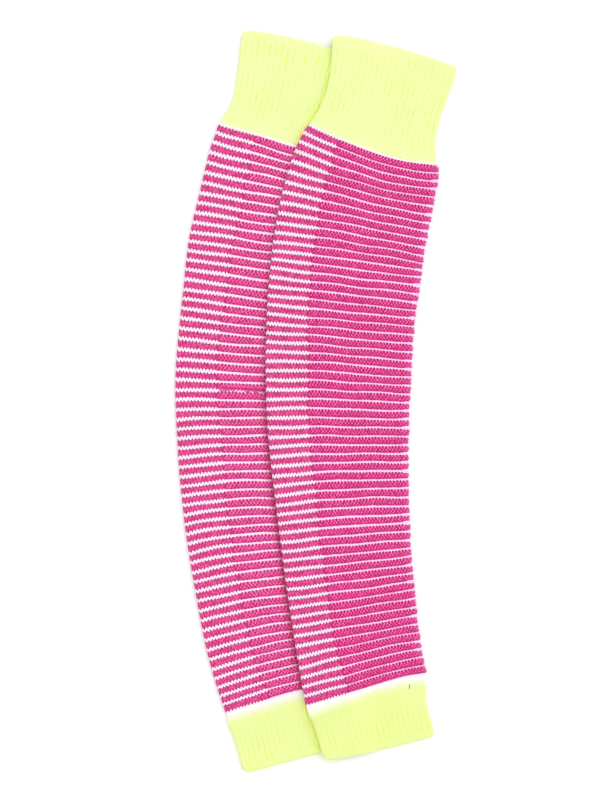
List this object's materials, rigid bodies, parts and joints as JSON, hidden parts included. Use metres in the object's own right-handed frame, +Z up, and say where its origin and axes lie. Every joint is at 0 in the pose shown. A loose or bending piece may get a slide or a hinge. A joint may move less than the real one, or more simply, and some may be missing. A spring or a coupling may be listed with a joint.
{
  "type": "pair of leg warmers",
  "caption": "Pair of long footless knitted leg warmers laid flat, one partly on the other: striped tubes with raised welts and ribbed cuffs.",
  "frame": {"origin": "under the middle of the pair's bounding box, on the surface that the pair lies on", "axes": "+Y along the legs towards the upper cuffs, +X from the left leg to the right one, +Z up out of the surface"},
  "size_m": [0.2393, 0.6307, 0.0113],
  "materials": {
    "lime_rib_knit": "matt lime yellow yarn in one-by-one rib",
    "pink_striped_knit": "matt bright pink yarn with narrow white stripes, plain knit and raised welts",
    "white_plain_knit": "matt white yarn in plain knit"
  },
  "bodies": {
    "root": {"left_upper_cuff": "lime_rib_knit", "left_striped_tube": "pink_striped_knit", "left_white_band": "white_plain_knit", "left_lower_cuff": "lime_rib_knit", "right_upper_cuff": "lime_rib_knit", "right_striped_tube": "pink_striped_knit", "right_white_band": "white_plain_knit", "right_lower_cuff": "lime_rib_knit"}
  },
  "joints": []
}
